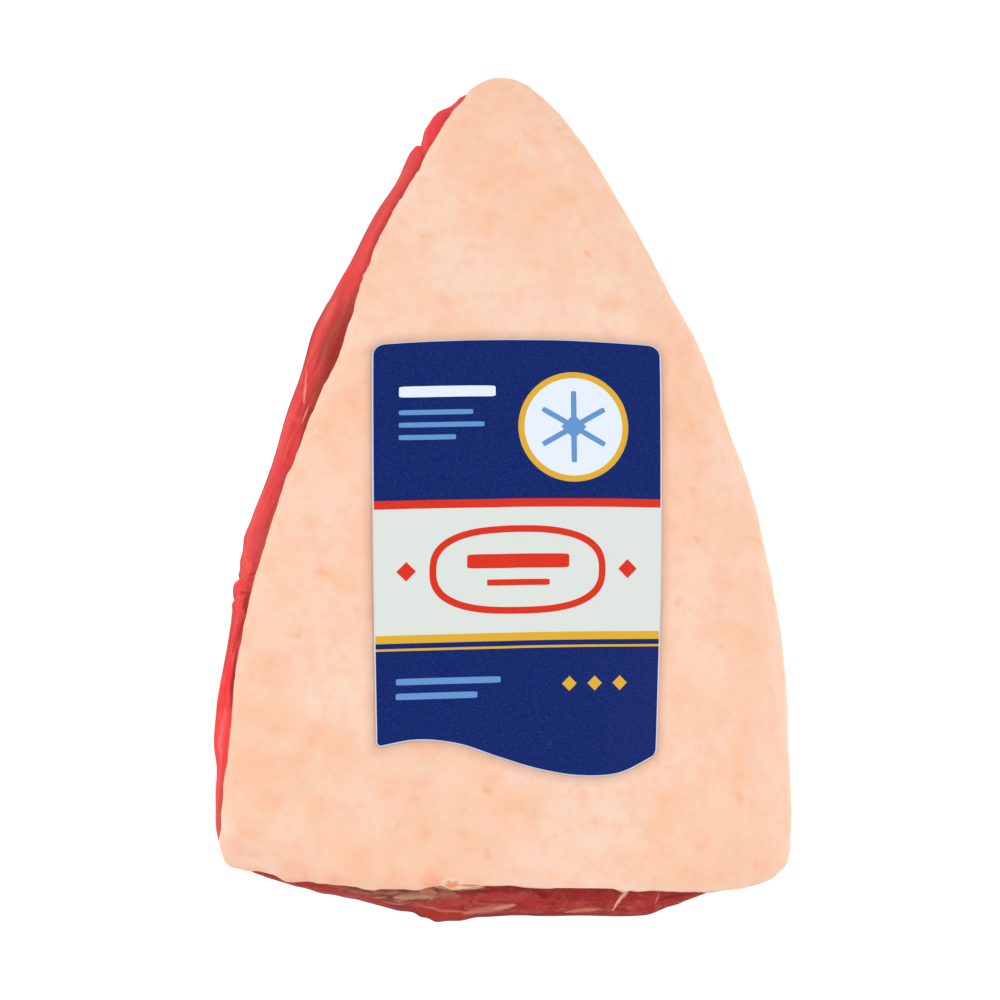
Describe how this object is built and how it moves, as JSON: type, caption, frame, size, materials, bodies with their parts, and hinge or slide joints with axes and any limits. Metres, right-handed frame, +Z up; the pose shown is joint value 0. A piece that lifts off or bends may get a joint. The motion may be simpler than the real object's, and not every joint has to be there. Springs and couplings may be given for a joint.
{
  "type": "raw picanha",
  "caption": "Raw triangular rump cap of beef lying on its lean side: smooth fat cap on top, red muscle open along one long side and the wide end, die-cut paper label on the fat.",
  "frame": {"origin": "on the surface that the piece rests on, under the middle of its bounding box", "axes": "+Y along the piece towards its narrow end, +X towards the long side where the fat wraps round, +Z up through the fat cap"},
  "size_m": [0.2062, 0.3094, 0.0467],
  "materials": {
    "lean": "moist raw muscle with pale silverskin",
    "fat": "smooth, slightly waxy beef fat, peach with faint mottling",
    "label": "satin coated paper, navy with a pale panel, red and gold bands"
  },
  "bodies": {
    "root": {"lean": "lean", "fat_cap": "fat", "label": "label"}
  },
  "joints": []
}
